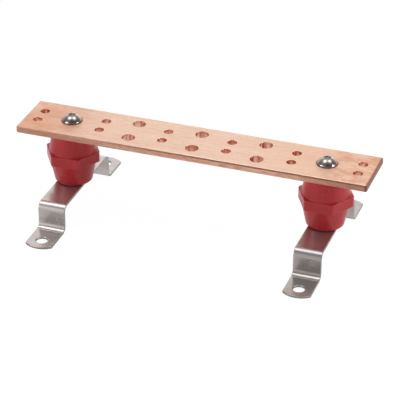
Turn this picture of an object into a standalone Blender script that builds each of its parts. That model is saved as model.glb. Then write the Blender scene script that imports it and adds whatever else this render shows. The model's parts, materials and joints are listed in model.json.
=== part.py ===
"""Ground busbar kit: a drilled copper bar on two hexagonal stand-off insulators and two hat brackets.

X runs along the bar and Z points up. The origin lies midway between the four feet, on the
surface that they stand on. The working unit is the metre.
"""

import math

import bmesh
import bpy
from mathutils import Matrix

MM = 0.001

# Copper bar
BAR_LENGTH = 304.8 * MM
BAR_WIDTH = 50.8 * MM
BAR_THICKNESS = 6.35 * MM
BAR_EDGE_RADIUS = 1.5 * MM

# Hole pattern: evenly spaced stations from left to right, each with a pair of holes or one screw
STATIONS = ("small", "screw", "small", "large", "small", "large",
            "small", "large", "small", "screw", "small")
END_STATION_MARGIN = 12.4 * MM
SMALL_HOLE_DIAMETER = 7.9 * MM
SMALL_PAIR_SPACING = 15.9 * MM
LARGE_HOLE_DIAMETER = 11.1 * MM
LARGE_PAIR_SPACING = 25.4 * MM

# Button head screws with a hexagon socket
SCREW_DIAMETER = 9.2 * MM
SCREW_TIP_CHAMFER = 1.0 * MM
THREAD_ENGAGEMENT = 12.0 * MM
HEAD_DIAMETER = 16.7 * MM
HEAD_HEIGHT = 5.0 * MM
HEAD_RIM_HEIGHT = 0.6 * MM
HEAD_CROWN_DIAMETER = 8.6 * MM
SOCKET_ACROSS_FLATS = 5.6 * MM
SOCKET_DEPTH = 3.2 * MM
SCREW_HOLE_CLEARANCE = 0.5 * MM

# Threaded metal inserts moulded into both ends of an insulator
INSERT_DIAMETER = 14.3 * MM
INSERT_FLOOR = 2.0 * MM
INSERT_BORE_CLEARANCE = 0.35 * MM
INSERT_TIP_ROOM = 3.5 * MM

# Stand-off insulator
INSULATOR_HEIGHT = 48.5 * MM
HEX_ACROSS_FLATS = 41.8 * MM
HEX_BAND_HEIGHT = 9.5 * MM
HEX_CORNER_RADIUS = 4.0 * MM
HEX_EDGE_RADIUS = 0.4 * MM
CONE_BASE_DIAMETER = 40.0 * MM
CONE_END_DIAMETER = 32.4 * MM
CONE_END_RADIUS = 1.6 * MM
CONE_FOOT_RADIUS = 0.5 * MM

# Folded hat bracket
STRIP_WIDTH = 23.8 * MM
STRIP_THICKNESS = 2.0 * MM
BRACKET_HEIGHT = 24.3 * MM
BRACKET_SPREAD = 100.0 * MM
BRACKET_DEPTH = 165.0 * MM
BEND_RADIUS = 3.2 * MM
FOOT_TIP_RADIUS = 18.0 * MM
FOOT_CORNER_RADIUS = 1.8 * MM
FOOT_HOLE_DIAMETER = 9.7 * MM
FOOT_HOLE_SETBACK = 11.5 * MM

# Fits
SEAT_GAP = 0.3 * MM
POCKET_GAP = 0.3 * MM

# Facets
HOLE_SEGMENTS = 32
INSULATOR_SEGMENTS = 48
SCREW_SEGMENTS = 32
BEND_SEGMENTS = 6
EDGE_SEGMENTS = 3
DOME_SEGMENTS = 8
MERGE_DISTANCE = 0.05 * MM

# Heights above the floor, from the brackets upwards
INSULATOR_BASE_Z = BRACKET_HEIGHT + SEAT_GAP
INSULATOR_TOP_Z = INSULATOR_BASE_Z + INSULATOR_HEIGHT
BAR_BASE_Z = INSULATOR_TOP_Z + SEAT_GAP
BAR_TOP_Z = BAR_BASE_Z + BAR_THICKNESS

# Distance from one station to the next
STATION_PITCH = (BAR_LENGTH - 2 * END_STATION_MARGIN) / (len(STATIONS) - 1)

# Screws, the holes that they pass through and the inserts that they end in
SCREW_HOLE_DIAMETER = SCREW_DIAMETER + 2 * SCREW_HOLE_CLEARANCE
BAR_SCREW_LENGTH = BAR_THICKNESS + 2 * SEAT_GAP + THREAD_ENGAGEMENT
BRACKET_SCREW_LENGTH = STRIP_THICKNESS + 2 * SEAT_GAP + THREAD_ENGAGEMENT
INSERT_LENGTH = THREAD_ENGAGEMENT + INSERT_TIP_ROOM + INSERT_FLOOR


def empty_collection(name):
    """A collection of this name, linked to the scene."""
    group = bpy.data.collections.get(name) or bpy.data.collections.new(name)
    if name not in bpy.context.scene.collection.children:
        bpy.context.scene.collection.children.link(group)
    return group


def make_material(name, colour, metallic, roughness):
    """A plain Principled material in the sub-part's own colour."""
    material = bpy.data.materials.new(name)
    material.use_nodes = True
    shader = material.node_tree.nodes["Principled BSDF"]
    shader.inputs["Base Color"].default_value = (*colour, 1.0)
    shader.inputs["Metallic"].default_value = metallic
    shader.inputs["Roughness"].default_value = roughness
    return material


def new_object(name, mesh, location=(0.0, 0.0, 0.0)):
    """An object for a mesh, in the scene's own collection until it is filed."""
    item = bpy.data.objects.new(name, mesh)
    item.location = location
    bpy.context.scene.collection.objects.link(item)
    return item


def file_in(item, group):
    """Keep an object in one collection only."""
    for owner in list(item.users_collection):
        owner.objects.unlink(item)
    group.objects.link(item)


def file_part(item, material):
    """Put a finished sub-part with the parts, in its material."""
    item.data.materials.clear()
    item.data.materials.append(material)
    item.data.shade_smooth()
    item.data.set_sharp_from_angle(angle=math.radians(35))
    file_in(item, PARTS)


def file_cutter(item, group=None):
    """Put a cutter with the cutters, out of the render."""
    item.hide_render = True
    item.display_type = "WIRE"
    file_in(item, group or CUTTERS)
    return item


def box(name, size, centre):
    """A box from the cube primitive, with its size applied to the mesh."""
    bpy.ops.mesh.primitive_cube_add(size=1.0, location=centre)
    item = bpy.context.object
    item.name = name
    item.data.transform(Matrix.Diagonal((*size, 1.0)))
    return item


def upright(name, diameter, bottom, top, x=0.0, y=0.0, segments=HOLE_SEGMENTS):
    """An upright cylinder between two heights."""
    bpy.ops.mesh.primitive_cylinder_add(
        vertices=segments, radius=diameter / 2, depth=top - bottom, location=(x, y, (bottom + top) / 2))
    item = bpy.context.object
    item.name = name
    return item


def hexagon(name, across_flats, bottom, top):
    """An upright hexagonal prism with two of its flats square to Y."""
    item = upright(name, across_flats / math.cos(math.pi / 6), bottom, top, segments=6)
    item.data.transform(Matrix.Rotation(math.pi / 6, 4, "Z"))
    return item


def turned(name, profile, location, segments=SCREW_SEGMENTS):
    """A solid of revolution from radius and height pairs that run down its outer side."""
    mesh = bpy.data.meshes.new(name)
    points = [(radius, 0.0, height) for radius, height in profile]
    mesh.from_pydata(points, [(i, i + 1) for i in range(len(points) - 1)], [])
    item = new_object(name, mesh, location)
    screw = item.modifiers.new("turn", "SCREW")
    screw.steps = segments
    screw.render_steps = segments
    screw.use_merge_vertices = True
    screw.merge_threshold = MERGE_DISTANCE
    return item


def arc(centre, radius, start, end, segments):
    """Points on a circular arc, both ends included, between two angles in degrees."""
    angles = [math.radians(start + (end - start) * i / segments) for i in range(segments + 1)]
    return [(centre[0] + radius * math.cos(a), centre[1] + radius * math.sin(a)) for a in angles]


def flat_solid(name, outline, thickness):
    """A flat outline in XY as a 2D curve, thickened to both sides of its plane."""
    curve = bpy.data.curves.new(name, "CURVE")
    curve.dimensions = "2D"
    curve.fill_mode = "BOTH"
    curve.extrude = thickness / 2
    spline = curve.splines.new("POLY")
    spline.points.add(len(outline) - 1)
    for point, (x, y) in zip(spline.points, outline):
        point.co = (x, y, 0.0, 1.0)
    spline.use_cyclic_u = True
    source = new_object(name + "_curve", curve)
    graph = bpy.context.evaluated_depsgraph_get()
    mesh = bpy.data.meshes.new_from_object(source.evaluated_get(graph))
    bpy.data.objects.remove(source, do_unlink=True)
    weld(mesh)
    return new_object(name, mesh)


def weld(mesh):
    """Join a curve's loose caps to its sides."""
    cage = bmesh.new()
    cage.from_mesh(mesh)
    bmesh.ops.remove_doubles(cage, verts=cage.verts, dist=MERGE_DISTANCE)
    cage.to_mesh(mesh)
    cage.free()


def bevel(item, width, segments=EDGE_SEGMENTS):
    """Round an object's sharp edges."""
    modifier = item.modifiers.new("rounded_edges", "BEVEL")
    modifier.width = width
    modifier.segments = segments
    modifier.limit_method = "ANGLE"


def combine(item, other, operation):
    """Cut, join or intersect an object with another that is filed with the cutters."""
    modifier = item.modifiers.new(operation.lower() + "_" + other.name, "BOOLEAN")
    modifier.operation = operation
    modifier.object = other
    modifier.solver = "EXACT"


def station_places(kind):
    """X of each station of one kind, from left to right."""
    middle = (len(STATIONS) - 1) / 2
    return [(i - middle) * STATION_PITCH for i, name in enumerate(STATIONS) if name == kind]


def hole_pairs():
    """The centre and diameter of each open hole of the bar."""
    patterns = (
        ("small", SMALL_PAIR_SPACING, SMALL_HOLE_DIAMETER),
        ("large", LARGE_PAIR_SPACING, LARGE_HOLE_DIAMETER),
    )
    for kind, spacing, diameter in patterns:
        for x in station_places(kind):
            for y in (-spacing / 2, spacing / 2):
                yield x, y, diameter


def make_bar():
    """The copper bar: rounded edges, nine pairs of holes and a clearance hole for each screw."""
    bar = box("copper_bar", (BAR_LENGTH, BAR_WIDTH, BAR_THICKNESS), (0, 0, (BAR_BASE_Z + BAR_TOP_Z) / 2))
    bevel(bar, BAR_EDGE_RADIUS)
    drills = empty_collection("bar_drills")
    holes = list(hole_pairs())
    holes += [(x, 0.0, SCREW_HOLE_DIAMETER) for x in station_places("screw")]
    overrun = BAR_THICKNESS / 2
    for x, y, diameter in holes:
        drill = upright("bar_drill", diameter, BAR_BASE_Z - overrun, BAR_TOP_Z + overrun, x, y)
        file_cutter(drill, drills)
    cut = bar.modifiers.new("drilled_holes", "BOOLEAN")
    cut.operand_type = "COLLECTION"
    cut.collection = drills
    cut.solver = "EXACT"
    file_part(bar, COPPER)


def insulator_profile():
    """Half section of two cones back to back: a fillet at each foot, a pocket for an insert at each end."""
    top = INSULATOR_HEIGHT / 2
    pocket_radius = INSERT_DIAMETER / 2 + POCKET_GAP
    pocket_floor = top - INSERT_LENGTH - POCKET_GAP
    end_radius = CONE_END_DIAMETER / 2
    corner = (end_radius - CONE_END_RADIUS, top - CONE_END_RADIUS)
    slope = math.degrees(math.atan2(
        (CONE_BASE_DIAMETER - CONE_END_DIAMETER) / 2, top - HEX_BAND_HEIGHT / 2))
    upper = [(0.0, pocket_floor), (pocket_radius, pocket_floor), (pocket_radius, top)]
    upper += arc(corner, CONE_END_RADIUS, 90, slope, EDGE_SEGMENTS)
    foot_run = CONE_FOOT_RADIUS / math.tan(math.radians((90 + slope) / 2))
    foot = (CONE_BASE_DIAMETER / 2 + foot_run, HEX_BAND_HEIGHT / 2 + CONE_FOOT_RADIUS)
    upper += arc(foot, CONE_FOOT_RADIUS, 180 + slope, 270, EDGE_SEGMENTS)
    return upper + [(radius, -height) for radius, height in reversed(upper)]


def band_plan():
    """Plan of the band: a hexagon with round corners and two of its flats square to Y."""
    reach = (HEX_ACROSS_FLATS / 2 - HEX_CORNER_RADIUS) / math.cos(math.pi / 6)
    plan = []
    for lean in range(0, 360, 60):
        corner = (reach * math.cos(math.radians(lean)), reach * math.sin(math.radians(lean)))
        plan += arc(corner, HEX_CORNER_RADIUS, lean - 30, lean + 30, BEND_SEGMENTS)
    return plan


def make_insulator(side, x):
    """A moulded insulator: two cones that meet in a hexagonal band for the wrench."""
    centre = (x, 0, INSULATOR_BASE_Z + INSULATOR_HEIGHT / 2)
    body = turned("insulator_" + side, insulator_profile(), centre, INSULATOR_SEGMENTS)
    band = flat_solid("hex_band_" + side, band_plan(), HEX_BAND_HEIGHT)
    band.location = centre
    bevel(band, HEX_EDGE_RADIUS)
    file_cutter(band)
    combine(body, band, "UNION")
    file_part(body, RED_POLYESTER)


def insert_profile():
    """Half section of a blind insert with its mouth at height zero."""
    bore = SCREW_DIAMETER / 2 + INSERT_BORE_CLEARANCE
    outer = INSERT_DIAMETER / 2
    floor = -INSERT_LENGTH
    return [(0.0, floor + INSERT_FLOOR), (bore, floor + INSERT_FLOOR), (bore, 0.0),
            (outer, 0.0), (outer, floor), (0.0, floor)]


def screw_profile(length):
    """Half section of a button head screw, with the underside of its head at height zero."""
    crown = HEAD_CROWN_DIAMETER / 2
    rim = HEAD_DIAMETER / 2
    rise = HEAD_HEIGHT - HEAD_RIM_HEIGHT
    shank = SCREW_DIAMETER / 2
    profile = [(0.0, HEAD_HEIGHT)]
    for i in range(DOME_SEGMENTS + 1):
        turn = math.radians(90 * i / DOME_SEGMENTS)
        profile.append((crown + (rim - crown) * math.sin(turn), HEAD_RIM_HEIGHT + rise * math.cos(turn)))
    profile += [(rim, 0.0), (shank, 0.0), (shank, SCREW_TIP_CHAMFER - length),
                (shank - SCREW_TIP_CHAMFER, -length), (0.0, -length)]
    return profile


def make_screw(name, x, seat_z, length, upside_down=False):
    """A button head screw whose head bears on a seat at the given height."""
    screw = turned(name, screw_profile(length), (x, 0, seat_z))
    socket = hexagon(
        name + "_socket", SOCKET_ACROSS_FLATS, HEAD_HEIGHT - SOCKET_DEPTH, HEAD_HEIGHT + SOCKET_DEPTH)
    socket.parent = screw
    if upside_down:
        screw.rotation_euler.x = math.pi
    file_cutter(socket)
    combine(screw, socket, "DIFFERENCE")
    file_part(screw, POLISHED_STEEL)


def make_insert(name, x, mouth_z, upside_down=False):
    """A blind threaded bush, flush with the end of its insulator."""
    bush = turned(name, insert_profile(), (x, 0, mouth_z))
    if upside_down:
        bush.rotation_euler.x = math.pi
    file_part(bush, BRASS)


def bracket_section():
    """Front half of the folded strip's outline in Y and Z, as its upper and lower skins."""
    spread = BRACKET_SPREAD / 2
    tip = -BRACKET_DEPTH / 2
    thick = STRIP_THICKNESS
    outer_radius = BEND_RADIUS + thick
    low = (-spread - BEND_RADIUS, thick + BEND_RADIUS)
    high = (-spread + outer_radius, BRACKET_HEIGHT - outer_radius)
    upper = [(tip, thick)]
    upper += arc(low, BEND_RADIUS, -90, 0, BEND_SEGMENTS)
    upper += arc(high, outer_radius, 180, 90, BEND_SEGMENTS)
    lower = [(tip, 0.0)]
    lower += arc(low, outer_radius, -90, 0, BEND_SEGMENTS)
    lower += arc(high, BEND_RADIUS, 180, 90, BEND_SEGMENTS)
    return upper, lower


def foot_plan():
    """Plan of the bracket: straight sides, with a shallow arc and small round corners at each foot."""
    half = STRIP_WIDTH / 2
    tip = BRACKET_DEPTH / 2
    centre_y = tip - FOOT_TIP_RADIUS
    corner_x = half - FOOT_CORNER_RADIUS
    corner_y = centre_y + math.sqrt((FOOT_TIP_RADIUS - FOOT_CORNER_RADIUS) ** 2 - corner_x ** 2)
    lean = math.degrees(math.atan2(corner_y - centre_y, corner_x))
    corner = arc((corner_x, corner_y), FOOT_CORNER_RADIUS, 0, lean, EDGE_SEGMENTS)
    corner += arc((0.0, centre_y), FOOT_TIP_RADIUS, lean, 90, BEND_SEGMENTS)[1:]
    rear_foot = corner + [(-x, y) for x, y in reversed(corner[:-1])]
    return rear_foot + [(-x, -y) for x, y in rear_foot]


def make_bracket(side, x):
    """A hat bracket folded from flat strip, with a hole in each foot and one under its insulator."""
    upper, lower = bracket_section()
    mirrored = [(-y, z) for y, z in reversed(upper)]
    mirrored += [(-y, z) for y, z in lower]
    strip = flat_solid("bracket_" + side, upper + mirrored + lower[::-1], 2 * STRIP_WIDTH)
    strip.data.transform(Matrix.Rotation(math.pi / 2, 4, "Z") @ Matrix.Rotation(math.pi / 2, 4, "X"))
    strip.location = (x, 0, 0)
    plan = flat_solid("bracket_plan_" + side, foot_plan(), 2 * BRACKET_HEIGHT + 2 * STRIP_THICKNESS)
    plan.location = (x, 0, BRACKET_HEIGHT / 2)
    file_cutter(plan)
    combine(strip, plan, "INTERSECT")
    reach = BRACKET_DEPTH / 2 - FOOT_HOLE_SETBACK
    punches = [(-reach, FOOT_HOLE_DIAMETER), (0.0, SCREW_HOLE_DIAMETER), (reach, FOOT_HOLE_DIAMETER)]
    for place, (y, diameter) in zip(("front", "middle", "rear"), punches):
        name = "punch_{}_{}".format(place, side)
        punch = upright(name, diameter, -STRIP_THICKNESS, BRACKET_HEIGHT + STRIP_THICKNESS, x, y)
        file_cutter(punch)
        combine(strip, punch, "DIFFERENCE")
    file_part(strip, BRUSHED_STEEL)


def main():
    """Build every sub-part at its place in the assembly."""
    make_bar()
    for side, x in zip(("left", "right"), station_places("screw")):
        make_bracket(side, x)
        make_insulator(side, x)
        make_insert("upper_insert_" + side, x, INSULATOR_TOP_Z)
        make_insert("lower_insert_" + side, x, INSULATOR_BASE_Z, upside_down=True)
        make_screw("bar_screw_" + side, x, BAR_TOP_Z + SEAT_GAP, BAR_SCREW_LENGTH)
        underside_z = BRACKET_HEIGHT - STRIP_THICKNESS - SEAT_GAP
        make_screw("bracket_screw_" + side, x, underside_z, BRACKET_SCREW_LENGTH, upside_down=True)


for leftover in list(bpy.data.objects):
    bpy.data.objects.remove(leftover, do_unlink=True)

PARTS = empty_collection("copper_busbar")
CUTTERS = empty_collection("cutters")
COPPER = make_material("bare_copper", (0.72, 0.36, 0.23), 1.0, 0.32)
RED_POLYESTER = make_material("red_polyester", (0.38, 0.025, 0.03), 0.0, 0.35)
BRUSHED_STEEL = make_material("stainless_strip", (0.50, 0.47, 0.45), 1.0, 0.30)
POLISHED_STEEL = make_material("polished_screw_steel", (0.62, 0.60, 0.58), 1.0, 0.15)
BRASS = make_material("brass_insert", (0.66, 0.50, 0.22), 1.0, 0.35)
main()
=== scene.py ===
"""Looks of the ground busbar kit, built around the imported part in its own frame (metres, Z up)."""
import json
import math

import bmesh
import bpy
from mathutils import Matrix, Vector

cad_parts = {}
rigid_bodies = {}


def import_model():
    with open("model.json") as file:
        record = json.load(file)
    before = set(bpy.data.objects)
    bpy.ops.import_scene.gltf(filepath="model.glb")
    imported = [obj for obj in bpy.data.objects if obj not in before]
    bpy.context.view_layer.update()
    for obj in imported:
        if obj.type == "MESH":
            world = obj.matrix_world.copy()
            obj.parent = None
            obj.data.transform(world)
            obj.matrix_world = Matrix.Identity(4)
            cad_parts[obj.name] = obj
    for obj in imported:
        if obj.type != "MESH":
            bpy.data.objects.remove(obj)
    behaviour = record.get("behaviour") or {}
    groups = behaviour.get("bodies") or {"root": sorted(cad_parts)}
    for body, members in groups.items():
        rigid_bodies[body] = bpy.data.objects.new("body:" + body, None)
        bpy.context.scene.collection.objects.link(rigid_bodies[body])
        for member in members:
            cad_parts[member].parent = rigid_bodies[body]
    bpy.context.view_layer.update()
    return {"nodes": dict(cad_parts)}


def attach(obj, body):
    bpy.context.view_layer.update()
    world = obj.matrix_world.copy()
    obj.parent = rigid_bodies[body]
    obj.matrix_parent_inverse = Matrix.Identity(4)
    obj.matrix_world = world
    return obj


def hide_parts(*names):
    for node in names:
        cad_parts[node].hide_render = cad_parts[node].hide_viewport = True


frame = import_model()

MM = 0.001

# ---------------------------------------------------------------- sizes, the same as the part's

BAR_LENGTH, BAR_WIDTH, BAR_THICKNESS = 304.8, 50.8, 6.35
BAR_EDGE_RADIUS = 1.5
BAR_BASE, BAR_TOP = 73.4, 79.75
# Seated faces stand this far apart in place of contact
SEAT_GAP = 0.3
STATION_PITCH = 28.0
SMALL_PAIRS, SMALL_SPACING, SMALL_HOLE = (-5, -3, -1, 1, 3, 5), 15.9, 7.9
LARGE_PAIRS, LARGE_SPACING, LARGE_HOLE = (-2, 0, 2), 25.4, 11.1
SIDES = {"left": -112.0, "right": 112.0}
SCREW_HOLE, BAR_HOLE_RIM = 10.2, 0.3

HEX_FLATS, HEX_BAND, HEX_EDGE, HEX_CORNER = 41.8, 9.5, 0.5, 3.2
HEX_TURN = {"left": 2.5, "right": -1.0}
# The upper cone (1) is a little wider than the lower one (-1)
CONE_BASE, CONE_END = {1: 40.7, -1: 40.0}, {1: 34.0, -1: 32.4}
CONE_END_RADIUS, CONE_FOOT = 1.6, 1.3
INSULATOR_BASE, INSULATOR_HEIGHT = 24.6, 48.5
INSERT_HOLE, INSERT_DEPTH = 14.9, 17.8

STRIP_WIDTH, STRIP_THICKNESS, BRACKET_HEIGHT = 23.8, 2.0, 24.3
BRACKET_SPREAD, BRACKET_DEPTH, BEND_RADIUS = 100.0, 165.0, 4.6
TIP_RADIUS, TIP_CORNER, FOOT_HOLE, FOOT_SETBACK = 18.0, 1.8, 9.7, 11.5
STRIP_EDGE, STRIP_HOLE_RIM = 0.5, 0.7
BEND_OUTER = BEND_RADIUS + STRIP_THICKNESS
BEND_NEUTRAL = BEND_RADIUS + STRIP_THICKNESS / 2
BEND_LENGTH = BEND_NEUTRAL * math.pi / 2
PLATFORM_HALF = BRACKET_SPREAD / 2 - BEND_OUTER
WALL_HEIGHT = BRACKET_HEIGHT - 2 * BEND_OUTER

HEAD, HEAD_HEIGHT, HEAD_RIM, HEAD_CROWN, DOME_RISE = 16.7, 5.0, 0.6, 7.8, 0.5
SOCKET_FLATS, SOCKET_DEPTH, SOCKET_CORNER, SOCKET_MOUTH = 5.6, 1.9, 0.15, 3.4
SHANK, BAR_SCREW_LENGTH, BRACKET_SCREW_LENGTH = 9.2, 18.95, 14.6

# The floor turns white to glossy rays between these two places along Y, in metres
FLOOR_WHITE = (-0.14, 0.22)

# Azimuth, elevation, sharpness and strength of each broad soft light in the world
STUDIO_LIGHTS = (
    (180, 5, 6, 1.38),  # behind
    (-135, 20, 6, 0.70),  # behind on the left
    (-32, 8, 14, 1.0),  # low on the front left
    (-70, 70, 34, 3.6),  # above on the left
    (110, 70, 34, 3.6),  # above on the right
    (0, 90, 0, 0.125),  # the same from all sides
)
# Azimuth, elevation, distance, size and strength of each softbox: front left and right
SOFTBOXES = ((-48, 20, 1.2, 0.36, 8.4), (88, 20, 0.8, 0.21, 15.2))

# The photograph's camera, in degrees, metres and pixels: its direction, its distance from the middle of
# the bar's top, how far it is moved right and up from there, its focal length and the photograph's width
VIEW_AZIMUTH, VIEW_ELEVATION, VIEW_DISTANCE = 19.66, 29.87, 1.6171
VIEW_RIGHT, VIEW_UP = 0.00246, -0.0485
VIEW_FOCUS, PHOTO_WIDTH = 1955.91, 400


# ---------------------------------------------------------------- materials

class Shade:
    """A node material being made: its nodes, its links and the Principled shader that they end in."""

    def __init__(self, name, colour, metallic, roughness, **settings):
        self.material = bpy.data.materials.new(name)
        self.material.use_nodes = True
        self.tree = self.material.node_tree
        self.shader = self.tree.nodes["Principled BSDF"]
        self.place = self.tree.nodes.new("ShaderNodeTexCoord").outputs["Object"]
        self.set("Base Color", (*colour, 1.0))
        self.set("Metallic", metallic)
        self.set("Roughness", roughness)
        for socket, value in settings.items():
            self.set(socket.replace("_", " "), value)

    def set(self, socket, value):
        """Give a shader socket a value, or link it."""
        self.plug(self.shader.inputs[socket], value)

    def plug(self, socket, value):
        """Give any socket a value, or link it."""
        if isinstance(value, bpy.types.NodeSocket):
            self.tree.links.new(value, socket)
        elif socket.type == "RGBA" and len(value) == 3:
            socket.default_value = (*value, 1.0)
        else:
            socket.default_value = value

    def noise(self, scale, detail=2.0, roughness=0.5, shift=(0.0, 0.0, 0.0)):
        """Noise from 0 to 1 with its own scale per metre along each axis."""
        mapping = self.tree.nodes.new("ShaderNodeMapping")
        mapping.inputs["Scale"].default_value = scale
        mapping.inputs["Location"].default_value = shift
        self.plug(mapping.inputs["Vector"], self.place)
        noise = self.tree.nodes.new("ShaderNodeTexNoise")
        noise.inputs["Scale"].default_value = 1.0
        noise.inputs["Detail"].default_value = detail
        noise.inputs["Roughness"].default_value = roughness
        self.plug(noise.inputs["Vector"], mapping.outputs["Vector"])
        return noise.outputs["Fac"]

    def axis(self, letter):
        """The place along one axis, in metres."""
        split = self.tree.nodes.new("ShaderNodeSeparateXYZ")
        self.plug(split.inputs[0], self.place)
        return split.outputs[letter]

    def from_screw(self):
        """Distance from the axis of the nearer screw, in metres."""
        x, y = self.calc("SUBTRACT", self.calc("ABSOLUTE", self.axis("X")), SIDES["right"] * MM), self.axis("Y")
        return self.calc("SQRT", self.calc("ADD", self.calc("MULTIPLY", x, x), self.calc("MULTIPLY", y, y)))

    def ramp(self, value, low, high, bottom=0.0, top=1.0):
        """A smooth step of value from bottom at low to top at high."""
        node = self.tree.nodes.new("ShaderNodeMapRange")
        node.interpolation_type = "SMOOTHSTEP"
        for socket, number in zip(node.inputs[1:5], (low, high, bottom, top)):
            socket.default_value = number
        self.plug(node.inputs["Value"], value)
        return node.outputs["Result"]

    def calc(self, operation, *numbers):
        """The result of a Math node."""
        node = self.tree.nodes.new("ShaderNodeMath")
        node.operation = operation
        for socket, number in zip(node.inputs, numbers):
            self.plug(socket, number)
        return node.outputs[0]

    def mix(self, share, a, b, blend="MIX"):
        """Colour a, turning into colour b by share."""
        node = self.tree.nodes.new("ShaderNodeMix")
        node.data_type = "RGBA"
        node.blend_type = blend
        self.plug(node.inputs["Factor"], share)
        self.plug(node.inputs[6], a)
        self.plug(node.inputs[7], b)
        return node.outputs[2]

    def bump(self, height, distance, strength=1.0):
        """Relief of the surface. Distance is in metres."""
        node = self.tree.nodes.new("ShaderNodeBump")
        node.inputs["Distance"].default_value = distance
        node.inputs["Strength"].default_value = strength
        self.plug(node.inputs["Height"], height)
        if self.shader.inputs["Normal"].is_linked:
            self.plug(node.inputs["Normal"], self.shader.inputs["Normal"].links[0].from_socket)
        self.set("Normal", node.outputs["Normal"])


def copper_face():
    """Cold rolled copper: fine streaks along the bar, and light oxide, in blots and swirls, at both ends."""
    s = Shade("copper_face", (0.95, 0.68, 0.54), 1.0, 0.6)
    x, y = s.axis("X"), s.axis("Y")
    fine = s.noise((40, 1100, 1100), 3, 0.7)
    broad = s.noise((5, 160, 160), 3, shift=(3, 1, 2))
    tone = s.mix(s.ramp(broad, 0.35, 0.7), (0.99, 0.75, 0.60), (0.97, 0.69, 0.54))
    tone = s.mix(s.ramp(fine, 0.42, 0.72, 0.0, 0.35), tone, (0.74, 0.45, 0.33))
    specks = s.noise((300, 1100, 1100), 2, 0.6, (1, 7, 4))
    tone = s.mix(s.ramp(specks, 0.42, 0.68, 0.0, 0.25), tone, (0.70, 0.40, 0.28))
    tone = s.mix(s.ramp(x, 0.03, 0.12, 0.0, 0.5), tone, (0.94, 0.60, 0.43))
    tint = s.calc("MULTIPLY", s.ramp(x, -0.08, -0.15, 0.0, 0.8), s.ramp(y, 0.012, -0.012, 0.4, 1.0))
    tone = s.mix(tint, tone, (0.86, 0.47, 0.31))
    blots = s.ramp(s.noise((40, 60, 60), 4, 0.65), 0.42, 0.60)
    tone = s.mix(s.calc("MULTIPLY", blots, s.ramp(x, -0.08, -0.12, 0.0, 0.5)), tone, (0.78, 0.39, 0.24))
    swirls = s.ramp(s.noise((90, 110, 110), 6, 0.7, (5, 2, 1)), 0.42, 0.62)
    tone = s.mix(s.calc("MULTIPLY", swirls, s.ramp(x, 0.108, 0.124, 0.0, 0.65)), tone, (0.76, 0.38, 0.22))
    # Painted shade: a dark ring round each screw, where its head meets the bar
    tone = s.mix(s.ramp(s.from_screw(), 0.0095, 0.0088, 0.0, 0.85), tone, (0.28, 0.09, 0.07))
    # Painted highlight: a brighter line along the rounded edges, stronger to the right. These edges are also a
    # little less rough
    round_start = (BAR_WIDTH / 2 - BAR_EDGE_RADIUS) * MM
    edge_polish_and_highlight = s.ramp(s.calc("ABSOLUTE", y), round_start, round_start + 0.0003)
    edge_polish_and_highlight = s.calc("MULTIPLY", edge_polish_and_highlight, s.ramp(x, -0.10, 0.04, 0.1, 0.65))
    tone = s.mix(edge_polish_and_highlight, tone, (1.0, 0.78, 0.65))
    # A dark line along the right end
    tone = s.mix(s.ramp(x, 0.1507, 0.1514, 0.0, 0.7), tone, (0.40, 0.18, 0.12))
    s.set("Base Color", tone)
    s.set("Roughness", s.calc("MULTIPLY_ADD", edge_polish_and_highlight, -0.14, s.ramp(fine, 0.2, 0.8, 0.54, 0.64)))
    s.bump(fine, 0.00002, 0.5)
    return s.material


def copper_edge():
    """Drawn edge of the bar: darker, with coarser streaks along it, and darkest on the right end face."""
    s = Shade("copper_edge", (0.78, 0.47, 0.36), 1.0, 0.42)
    x = s.axis("X")
    fine = s.noise((160, 1000, 1000), 3, 0.7)
    broad = s.noise((20, 300, 300), 3, shift=(1, 5, 2))
    tone = s.mix(s.ramp(broad, 0.3, 0.7), (0.98, 0.60, 0.46), (0.84, 0.44, 0.32))
    tone = s.mix(s.ramp(fine, 0.35, 0.7, 0.0, 0.7), tone, (0.50, 0.24, 0.16))
    tone = s.mix(s.ramp(x, -0.03, -0.12, 0.0, 0.75), tone, (0.50, 0.26, 0.175))
    tone = s.mix(s.ramp(x, 0.08, 0.14, 0.0, 0.65), tone, (0.48, 0.215, 0.15))
    tone = s.mix(s.ramp(x, 0.1495, 0.1515, 0.0, 0.9), tone, (0.22, 0.09, 0.065))
    # Painted dark reflection: a dark line just below the rounded top, stronger to the right
    z = s.axis("Z")
    painted_dark_reflection = s.calc("MULTIPLY", s.ramp(z, 0.0776, 0.0784), s.ramp(z, 0.0797, 0.0791))
    painted_dark_reflection = s.calc("MULTIPLY", painted_dark_reflection, s.ramp(x, -0.12, 0.02, 0.1, 0.8))
    tone = s.mix(painted_dark_reflection, tone, (0.30, 0.13, 0.085))
    s.set("Base Color", tone)
    s.set("Roughness", s.ramp(fine, 0.2, 0.8, 0.36, 0.5))
    s.bump(fine, 0.00003, 0.6)
    return s.material


def copper_bore():
    """Drilled wall of a hole: bright, redder, with marks of the drill round it."""
    s = Shade("copper_bore", (0.88, 0.50, 0.37), 1.0, 0.32)
    rings = s.noise((60, 60, 2600), 2)
    streaks = s.noise((380, 380, 30), 2, 0.5, (4, 1, 6))
    tone = s.mix(s.ramp(streaks, 0.40, 0.60), (0.97, 0.62, 0.48), (0.72, 0.29, 0.19))
    s.set("Base Color", s.mix(s.ramp(rings, 0.35, 0.7, 0.0, 0.3), tone, (0.66, 0.26, 0.17)))
    s.set("Roughness", s.ramp(streaks, 0.35, 0.65, 0.26, 0.34))
    s.bump(rings, 0.00001, 0.4)
    return s.material


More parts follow.
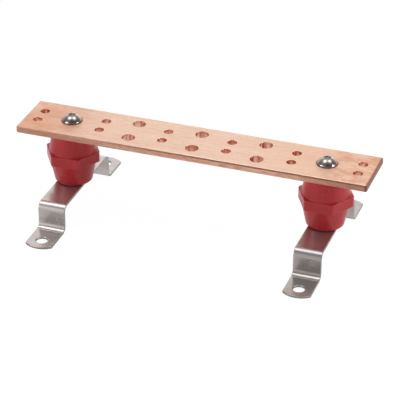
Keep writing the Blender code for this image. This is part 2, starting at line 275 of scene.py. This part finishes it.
def red_polyester():
    """Moulded glass polyester: even dark red with a soft gloss."""
    s = Shade("red_polyester", (0.47, 0.025, 0.032), 0.0, 0.28, Specular_IOR_Level=0.4)
    cloud = s.noise((90, 90, 90), 4)
    grain = s.noise((1800, 1800, 1800), 2)
    tone = s.mix(s.ramp(cloud, 0.3, 0.75), (0.50, 0.026, 0.034), (0.45, 0.023, 0.030))
    s.set("Base Color", tone)
    s.set("Roughness", s.ramp(cloud, 0.25, 0.8, 0.26, 0.34))
    s.bump(cloud, 0.0004, 0.08)
    s.bump(grain, 0.00002, 0.3)
    return s.material


def stainless_face():
    """Mill finish of the folded strips: satin, with faint lines and a few deeper scratches."""
    s = Shade("stainless_face", (0.635, 0.585, 0.57), 0.86, 0.28)
    fine = s.noise((25, 900, 900), 3, 0.6)
    broad = s.noise((50, 160, 160), 3, shift=(2, 2, 7))
    tone = s.mix(s.ramp(broad, 0.3, 0.7), (0.675, 0.62, 0.605), (0.60, 0.545, 0.53))
    tone = s.mix(s.ramp(fine, 0.4, 0.75, 0.0, 0.4), tone, (0.46, 0.425, 0.41))
    scratches = s.ramp(s.noise((40, 500, 500), 1, 0.5, (3, 3, 3)), 0.69, 0.75)
    tone = s.mix(s.calc("MULTIPLY", scratches, 0.5), tone, (0.35, 0.33, 0.32))
    # The right strip is darker than the left, and the feet are a little darker. The platforms and feet are
    # smoother than the bends and risers
    x, z = s.axis("X"), s.axis("Z")
    tone = s.mix(s.ramp(x, -0.03, 0.03, 0.0, 0.35), tone, (0.38, 0.36, 0.35))
    top = s.ramp(z, 0.02395, 0.02422)
    foot = s.ramp(z, 0.004, 0.003)
    tone = s.mix(s.calc("MULTIPLY", foot, 0.16), tone, (0.30, 0.28, 0.27))
    s.set("Base Color", tone)
    smooth = s.calc("MAXIMUM", top, foot)
    s.set("Roughness", s.calc("MULTIPLY_ADD", smooth, -0.06, s.ramp(broad, 0.25, 0.75, 0.25, 0.31)))
    s.bump(fine, 0.000005, 0.1)
    return s.material


def stainless_edge():
    """Sheared side of the strip: darker and rougher, with marks across its thickness."""
    s = Shade("stainless_edge", (0.36, 0.34, 0.33), 0.86, 0.42)
    marks = s.noise((700, 700, 60), 2)
    s.set("Base Color", s.mix(s.ramp(marks, 0.3, 0.7), (0.42, 0.40, 0.385), (0.28, 0.265, 0.255)))
    s.set("Roughness", s.ramp(marks, 0.3, 0.7, 0.36, 0.5))
    s.bump(marks, 0.00003, 0.5)
    return s.material


def screw_steel():
    """Polished stainless of the button head screws: darker and coarser inside the socket."""
    s = Shade("screw_steel", (0.60, 0.54, 0.52), 1.0, 0.18)
    haze = s.noise((300, 300, 300), 3)
    inside = s.ramp(s.from_screw(), SOCKET_MOUTH * MM, 0.0031)
    tone = s.mix(s.ramp(haze, 0.35, 0.7), (0.52, 0.465, 0.445), (0.45, 0.395, 0.38))
    s.set("Base Color", s.mix(s.calc("MULTIPLY", inside, 0.3), tone, (0.30, 0.25, 0.245)))
    s.set("Roughness", s.calc("MULTIPLY_ADD", inside, 0.25, s.ramp(haze, 0.3, 0.75, 0.15, 0.22)))
    s.bump(haze, 0.00005, 0.15)
    return s.material


def insert_brass():
    """Turned brass of the hidden inserts."""
    s = Shade("insert_brass", (0.75, 0.52, 0.20), 1.0, 0.3)
    rings = s.noise((200, 200, 2200), 2)
    s.set("Base Color", s.mix(s.ramp(rings, 0.3, 0.7), (0.78, 0.55, 0.22), (0.62, 0.42, 0.15)))
    s.set("Roughness", s.ramp(rings, 0.3, 0.7, 0.25, 0.4))
    s.bump(rings, 0.00003, 0.5)
    return s.material


# ---------------------------------------------------------------- mesh helpers

def new_object(name, mesh, location=(0.0, 0.0, 0.0)):
    """The mesh as an object in the scene."""
    item = bpy.data.objects.new(name, mesh)
    item.location = location
    bpy.context.scene.collection.objects.link(item)
    return item


def add_piece(name, mesh, node, materials, smooth_angle=40):
    """A finished piece, which rides with the part and stands for its CAD node."""
    mesh.shade_smooth()
    mesh.set_sharp_from_angle(angle=math.radians(smooth_angle))
    item = new_object("shading", mesh)
    weights = item.modifiers.new("flat_faces_stay_flat", "WEIGHTED_NORMAL")
    weights.keep_sharp = True
    mesh = applied(item)
    mesh.name = name
    for material in materials:
        mesh.materials.append(material)
    item = new_object(name, mesh)
    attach(item, "root")
    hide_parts(node)


def applied(item):
    """The object's mesh with its modifiers applied. The object goes."""
    graph = bpy.context.evaluated_depsgraph_get()
    mesh = bpy.data.meshes.new_from_object(item.evaluated_get(graph))
    bpy.data.objects.remove(item, do_unlink=True)
    return mesh


def prism(name, outline, bottom, top):
    """An upright solid over a closed outline. All in millimetres."""
    cage = bmesh.new()
    low = [cage.verts.new((x * MM, y * MM, bottom * MM)) for x, y in outline]
    high = [cage.verts.new((x * MM, y * MM, top * MM)) for x, y in outline]
    cage.faces.new(low[::-1])
    cage.faces.new(high)
    for i in range(len(outline)):
        j = (i + 1) % len(outline)
        cage.faces.new((low[i], low[j], high[j], high[i]))
    mesh = bpy.data.meshes.new(name)
    cage.to_mesh(mesh)
    cage.free()
    return new_object(name, mesh)


def circle(x, y, diameter, steps=64):
    """Points round a circle."""
    turns = [2 * math.pi * i / steps for i in range(steps)]
    return [(x + diameter / 2 * math.cos(t), y + diameter / 2 * math.sin(t)) for t in turns]


def arc(centre, radius, start, end, steps):
    """Points along an arc between two turns in degrees, both ends included."""
    turns = [math.radians(start + (end - start) * i / steps) for i in range(steps + 1)]
    return [(centre[0] + radius * math.cos(t), centre[1] + radius * math.sin(t)) for t in turns]


def rounded(item, radius, steps):
    """Round the right-angled edges of a plate."""
    rounding = item.modifiers.new("edges", "BEVEL")
    rounding.width, rounding.segments = radius * MM, steps
    rounding.limit_method, rounding.angle_limit = "ANGLE", math.radians(60)
    return new_object("plate", applied(item))


def drilled(item, holes, bottom, top, rim):
    """Cut round holes through a plate. The drill flares at both ends, which rounds the rims."""
    for x, y, diameter in holes:
        reach = diameter / 2 + rim
        rows = [(reach, bottom - 1)] + arc((reach, bottom + rim), rim, 270, 180, 4)
        rows += arc((reach, top - rim), rim, 180, 90, 4) + [(reach, top + 1)]
        rings = [[(*point, height) for point in circle(x, y, 2 * radius)] for radius, height in rows]
        cut = item.modifiers.new("cut", "BOOLEAN")
        cut.operation, cut.solver = "DIFFERENCE", "EXACT"
        cut.object = new_object("drill", wrap("drill", rings))
    mesh = applied(item)
    for drill in [o for o in bpy.data.objects if o.name.startswith("drill")]:
        bpy.data.objects.remove(drill, do_unlink=True)
    return mesh


def wrap(name, rings):
    """A closed skin through rings of points in millimetres. The first and last ring are filled."""
    cage = bmesh.new()
    loops = [[cage.verts.new([c * MM for c in p]) for p in ring] for ring in rings]
    count = len(loops[0])
    for a, b in zip(loops, loops[1:]):
        for i in range(count):
            j = (i + 1) % count
            cage.faces.new((a[i], a[j], b[j], b[i]))
    cage.faces.new(loops[0][::-1])
    cage.faces.new(loops[-1])
    bmesh.ops.recalc_face_normals(cage, faces=cage.faces)
    mesh = bpy.data.meshes.new(name)
    cage.to_mesh(mesh)
    cage.free()
    return mesh


# ---------------------------------------------------------------- copper bar

def make_bar(materials):
    """The drilled bar. Its materials are those of its faces, its edges and its bores."""
    holes = []
    for pairs, spacing, hole in ((SMALL_PAIRS, SMALL_SPACING, SMALL_HOLE),
                                 (LARGE_PAIRS, LARGE_SPACING, LARGE_HOLE)):
        holes += [(station * STATION_PITCH, y * spacing / 2, hole) for station in pairs for y in (-1, 1)]
    holes += [(x, 0.0, SCREW_HOLE) for x in SIDES.values()]
    half_x, half_y = BAR_LENGTH / 2, BAR_WIDTH / 2
    outline = [(-half_x, -half_y), (half_x, -half_y), (half_x, half_y), (-half_x, half_y)]
    bar = rounded(prism("bar_blank", outline, BAR_BASE, BAR_TOP), BAR_EDGE_RADIUS, 6)
    mesh = drilled(bar, holes, BAR_BASE, BAR_TOP, BAR_HOLE_RIM)
    for face in mesh.polygons:
        c = face.center / MM
        outer = abs(c.x) > half_x - BAR_EDGE_RADIUS or abs(c.y) > half_y - BAR_EDGE_RADIUS
        if abs(face.normal.z) < 0.75:
            face.material_index = 1 if outer else 2
    add_piece("bar", mesh, "copper_bar", materials)


# ---------------------------------------------------------------- insulators

def hex_angles():
    """Turns round the insulator, closer together near the corners of the band."""
    offsets = [-30, -29, -28, -27, -26, -25, -22, -18, -12, -6]
    offsets = offsets + [0] + [-o for o in reversed(offsets[1:])]
    return [math.radians(30 + 60 * k + o) for k in range(6) for o in offsets]


def hex_reach(turn, flats, corner):
    """Distance from the axis to a hexagon with rounded corners and two flats square to Y."""
    off = (math.degrees(turn) - 90 + 30) % 60 - 30
    off = abs(math.radians(off))
    inner = flats / 2 - corner
    reach = flats / 2 / math.cos(off)
    if reach * math.sin(off) <= inner * math.tan(math.pi / 6):
        return reach
    cx, cy = inner, inner * math.tan(math.pi / 6)
    along = cx * math.cos(off) + cy * math.sin(off)
    return along + math.sqrt(along ** 2 - cx ** 2 - cy ** 2 + corner ** 2)


def insulator_rows(turn, side):
    """Radius and height pairs from the middle of the band to the end and into the pocket.

    Side is 1 for the upper half and -1 for the lower one.
    """
    top, band = INSULATOR_HEIGHT / 2, HEX_BAND / 2
    base, end = CONE_BASE[side] / 2, CONE_END[side] / 2
    slope = math.degrees(math.atan2(base - end, top - band))
    hexagon = hex_reach(turn, HEX_FLATS, HEX_CORNER)
    spread = math.tan(math.radians((90 + slope) / 2))
    foot = min(CONE_FOOT, 0.9 * (hexagon - HEX_EDGE - base) * spread)
    rows = [(hexagon, 0.0)]
    rows += arc((hexagon - HEX_EDGE, band - HEX_EDGE), HEX_EDGE, 0, 90, 5)
    rows += arc((base + foot / spread, band + foot), foot, 270, 180 + slope, 5)
    rows += arc((end - CONE_END_RADIUS, top - CONE_END_RADIUS), CONE_END_RADIUS, slope, 90, 6)
    rows += [(INSERT_HOLE / 2, top), (INSERT_HOLE / 2, top - INSERT_DEPTH)]
    return rows


def make_insulator(side, x, material):
    """A stand-off insulator, the same all round but for its hexagonal band and the turn that it stands at."""
    turns = hex_angles()
    halves = {sign: [insulator_rows(t, sign) for t in turns] for sign in (-1, 1)}
    turns = [t + math.radians(HEX_TURN[side]) for t in turns]
    count = len(halves[1][0])
    middle = INSULATOR_BASE + INSULATOR_HEIGHT / 2
    order = [(k, -1) for k in range(count - 1, 0, -1)] + [(k, 1) for k in range(count)]
    rings = []
    for k, sign in order:
        ring = []
        for turn, profile in zip(turns, halves[sign]):
            radius, height = profile[k]
            ring.append((x + radius * math.cos(turn), radius * math.sin(turn), middle + sign * height))
        rings.append(ring)
    mesh = wrap("insulator", rings)
    add_piece("insulator_body_" + side, mesh, "insulator_" + side, [material], 50)


# ---------------------------------------------------------------- screws

def screw_rows(turn, length):
    """Radius and height pairs of a button head screw, from the floor of its socket to its tip."""
    crown, rim, top, floor = HEAD_CROWN / 2, HEAD / 2, HEAD_HEIGHT, HEAD_HEIGHT - SOCKET_DEPTH
    socket = hex_reach(turn, SOCKET_FLATS, SOCKET_CORNER)
    # The socket's floor is a shallow cone, and its mouth is a round chamfer
    rows = [(0.05, floor - 0.5), (SOCKET_FLATS / 2 - 0.2, floor + 0.6), (socket, floor + 0.7)]
    rows += [(socket, top - 0.25), (SOCKET_MOUTH - 0.1, top - 0.05), (SOCKET_MOUTH, top), (crown, top)]
    run, drop = rim - crown, top - HEAD_RIM
    for i in range(1, 17):
        share = i / 16
        bulge = 4 * DOME_RISE * share * (1 - share) / math.hypot(run, drop)
        rows.append((crown + run * share + drop * bulge, top - drop * share + run * bulge))
    rows += [(rim, 0.15), (rim - 0.15, 0.0)]
    return rows + [(SHANK / 2, 0.0), (SHANK / 2, 1 - length), (SHANK / 2 - 1, -length)]


def make_screw(name, node, x, seat, length, flip, material):
    """A screw whose head sits on the height seat. Flip is 1 for the head up and -1 for the head down."""
    turns = hex_angles()
    profiles = [screw_rows(t, length) for t in turns]
    rings = []
    for k in range(len(profiles[0])):
        rings.append([(x + p[k][0] * math.cos(t), p[k][0] * math.sin(t), seat + flip * p[k][1])
                      for t, p in zip(turns, profiles)])
    add_piece(name, wrap(name, rings), node, [material], 35)


# ---------------------------------------------------------------- brackets

def fold(s, height):
    """Where a point of the flat strip goes: s along it from its middle, height above its underside."""
    side = 1 if s >= 0 else -1
    s = abs(s)
    y, z = PLATFORM_HALF, BRACKET_HEIGHT - STRIP_THICKNESS
    if s <= PLATFORM_HALF:
        return side * s, z + height
    s -= PLATFORM_HALF
    if s <= BEND_LENGTH:
        a, radius = s / BEND_NEUTRAL, BEND_RADIUS + height
        return side * (y + radius * math.sin(a)), z - BEND_RADIUS + radius * math.cos(a)
    s -= BEND_LENGTH
    y, z = y + BEND_RADIUS, z - BEND_RADIUS
    if s <= WALL_HEIGHT:
        return side * (y + height), z - s
    s -= WALL_HEIGHT
    z -= WALL_HEIGHT
    if s <= BEND_LENGTH:
        a, radius = s / BEND_NEUTRAL, BEND_OUTER - height
        return side * (y + BEND_OUTER - radius * math.cos(a)), z - radius * math.sin(a)
    return side * (y + BEND_OUTER + s - BEND_LENGTH), z - BEND_OUTER + height


def flat_reach():
    """Length of the unfolded strip from its middle to a tip."""
    foot = BRACKET_DEPTH / 2 - BRACKET_SPREAD / 2 - BEND_RADIUS
    return PLATFORM_HALF + BEND_LENGTH + WALL_HEIGHT + BEND_LENGTH + foot


def bend_cuts():
    """Places along the flat strip where it needs a crease for its bends."""
    wall = PLATFORM_HALF + BEND_LENGTH
    cuts = [PLATFORM_HALF + BEND_LENGTH * i / 12 for i in range(13)]
    cuts += [wall + WALL_HEIGHT * i / 4 for i in (1, 2, 3)]
    cuts += [wall + WALL_HEIGHT + BEND_LENGTH * i / 12 for i in range(13)]
    return [side * c for c in cuts for side in (-1, 1)]


def make_bracket(side, x, materials):
    """A flat strip, cut, drilled and then folded. Its materials are those of its faces and its edges."""
    half, reach = STRIP_WIDTH / 2, flat_reach()
    centre = reach - TIP_RADIUS
    corner_x = half - TIP_CORNER
    corner_y = centre + math.sqrt((TIP_RADIUS - TIP_CORNER) ** 2 - corner_x ** 2)
    lean = math.degrees(math.atan2(corner_y - centre, corner_x))
    tip = arc((corner_x, corner_y), TIP_CORNER, 0, lean, 5)
    tip += arc((0, centre), TIP_RADIUS, lean, 90, 14)[1:]
    tip += [(-px, py) for px, py in reversed(tip[:-1])]
    outline = tip + [(-px, -py) for px, py in tip]
    blank = rounded(prism("strip_blank", outline, 0, STRIP_THICKNESS), STRIP_EDGE, 3)
    setback = reach - FOOT_SETBACK
    holes = [(0, -setback, FOOT_HOLE), (0, 0, SCREW_HOLE), (0, setback, FOOT_HOLE)]
    mesh = drilled(blank, holes, 0, STRIP_THICKNESS, STRIP_HOLE_RIM)
    for face in mesh.polygons:
        face.material_index = int(abs(face.normal.z) < 0.5)
    cage = bmesh.new()
    cage.from_mesh(mesh)
    for place in bend_cuts():
        parts = cage.verts[:] + cage.edges[:] + cage.faces[:]
        bmesh.ops.bisect_plane(cage, geom=parts, plane_co=(0, place * MM, 0), plane_no=(0, 1, 0), dist=1e-7)
    for vertex in cage.verts:
        y, z = fold(vertex.co.y / MM, vertex.co.z / MM)
        vertex.co = (vertex.co.x + x * MM, y * MM, z * MM)
    cage.to_mesh(mesh)
    cage.free()
    add_piece("strip_" + side, mesh, "bracket_" + side, materials, 30)


# ---------------------------------------------------------------- stage

class Nodes:
    """Short names for making the floor's and the world's nodes."""

    def __init__(self, owner):
        owner.use_nodes = True
        self.tree = owner.node_tree
        self.tree.nodes.clear()

    def new(self, kind, *inputs, **settings):
        """A node with its inputs in order, each a value, a link or None."""
        node = self.tree.nodes.new("ShaderNode" + kind)
        for name, value in settings.items():
            setattr(node, name, value)
        for socket, value in zip(node.inputs, inputs):
            if isinstance(value, bpy.types.NodeSocket):
                self.tree.links.new(value, socket)
            elif value is not None:
                socket.default_value = value
        return node

    def math(self, operation, *inputs):
        """The result of a Math node."""
        return self.new("Math", *inputs, operation=operation).outputs[0]


def make_floor():
    """Plain pale floor: white to the camera, with a trace of the object's shadow.

    Its back half is white to gloss too.
    """
    cage = bmesh.new()
    bmesh.ops.create_grid(cage, x_segments=1, y_segments=1, size=6)
    mesh = bpy.data.meshes.new("floor")
    cage.to_mesh(mesh)
    cage.free()
    material = bpy.data.materials.new("floor")
    material.cycles.emission_sampling = "NONE"
    n = Nodes(material)
    place = n.new("SeparateXYZ", n.new("TexCoord").outputs["Object"])
    back = n.new("MapRange", place.outputs["Y"], *FLOOR_WHITE, 0.0, 1.0, interpolation_type="SMOOTHSTEP")
    path = n.new("LightPath")
    gloss = n.math("MULTIPLY", path.outputs["Is Glossy Ray"], back.outputs["Result"])
    seen = n.math("MAXIMUM", path.outputs["Is Camera Ray"], path.outputs["Is Transmission Ray"])
    share = n.math("MULTIPLY", n.math("MAXIMUM", seen, gloss), 0.96)
    lit = n.new("BsdfDiffuse", (0.8, 0.8, 0.8, 1))
    white = n.new("Emission", (1, 1, 1, 1), 1.02)
    n.new("OutputMaterial", n.new("MixShader", share, lit.outputs[0], white.outputs[0]).outputs[0])
    mesh.materials.append(material)
    new_object("floor", mesh, (0, 0, -0.0002))


def make_world():
    """White to the camera. To everything else, a dark studio with broad soft lights."""
    world = bpy.data.worlds.new("studio")
    bpy.context.scene.world = world
    n = Nodes(world)
    direction = n.new("TexCoord").outputs["Generated"]
    total = 0.0
    for azimuth, elevation, sharpness, strength in STUDIO_LIGHTS:
        facing = n.new("VectorMath", direction, towards(azimuth, elevation), operation="DOT_PRODUCT")
        fall = n.math("EXPONENT", n.math("MULTIPLY_ADD", facing.outputs["Value"], sharpness, -sharpness))
        total = n.math("MULTIPLY_ADD", fall, strength, total)
    studio = n.new("Background", (1, 1, 1, 1), total)
    white = n.new("Background", (1, 1, 1, 1), 1.0)
    path = n.new("LightPath")
    seen = n.math("MAXIMUM", path.outputs["Is Camera Ray"], path.outputs["Is Transmission Ray"])
    mix = n.new("MixShader", seen, studio.outputs[0], white.outputs[0])
    n.new("OutputWorld", mix.outputs[0])


def towards(azimuth, elevation):
    """Direction from the object. Azimuth 0 is in front and 90 on the right."""
    a, e = math.radians(azimuth), math.radians(elevation)
    return Vector((math.sin(a) * math.cos(e), -math.cos(a) * math.cos(e), math.sin(e)))


def make_softboxes():
    """Round lamps that face the object."""
    for azimuth, elevation, distance, size, strength in SOFTBOXES:
        data = bpy.data.lights.new("softbox", "AREA")
        data.shape, data.size = "DISK", size
        data.energy = strength * math.pi ** 2 / 4 * size ** 2
        out = towards(azimuth, elevation)
        lamp = bpy.data.objects.new("softbox", data)
        facing = out.to_track_quat("Z", "Y").to_matrix().to_4x4()
        lamp.matrix_world = Matrix.Translation(out * distance) @ facing
        bpy.context.scene.collection.objects.link(lamp)


def make_camera():
    """The photograph's view, solved from its hole centres and edges."""
    back = towards(VIEW_AZIMUTH, VIEW_ELEVATION)
    right = Vector((-back.y, back.x, 0.0)).normalized()
    up = back.cross(right)
    aim = Vector((0.0, 0.0, BAR_TOP * MM))
    data = bpy.data.cameras.new("camera")
    data.lens = VIEW_FOCUS / PHOTO_WIDTH * data.sensor_width
    camera = bpy.data.objects.new("camera", data)
    place = aim + back * VIEW_DISTANCE + right * VIEW_RIGHT + up * VIEW_UP
    turn = Matrix((right, up, back)).transposed().to_4x4()
    camera.matrix_world = Matrix.Translation(place) @ turn
    bpy.context.scene.collection.objects.link(camera)
    bpy.context.scene.camera = camera


# ---------------------------------------------------------------- the scene

STRIP = [stainless_face(), stainless_edge()]
SCREW_STEEL, RED, BRASS = screw_steel(), red_polyester(), insert_brass()
make_bar([copper_face(), copper_edge(), copper_bore()])
for side, x in SIDES.items():
    make_insulator(side, x, RED)
    make_screw("top_screw_" + side, "bar_screw_" + side, x, BAR_TOP + SEAT_GAP, BAR_SCREW_LENGTH, 1, SCREW_STEEL)
    make_screw("lower_screw_" + side, "bracket_screw_" + side, x,
               BRACKET_HEIGHT - STRIP_THICKNESS - SEAT_GAP, BRACKET_SCREW_LENGTH, -1, SCREW_STEEL)
    make_bracket(side, x, STRIP)
# The inserts stay as they are in the CAD model, with brass on them
for name, node in frame["nodes"].items():
    if "insert" in name:
        node.data.materials.clear()
        node.data.materials.append(BRASS)

make_floor()
make_world()
make_softboxes()
make_camera()
bpy.context.scene.view_settings.view_transform = "Standard"
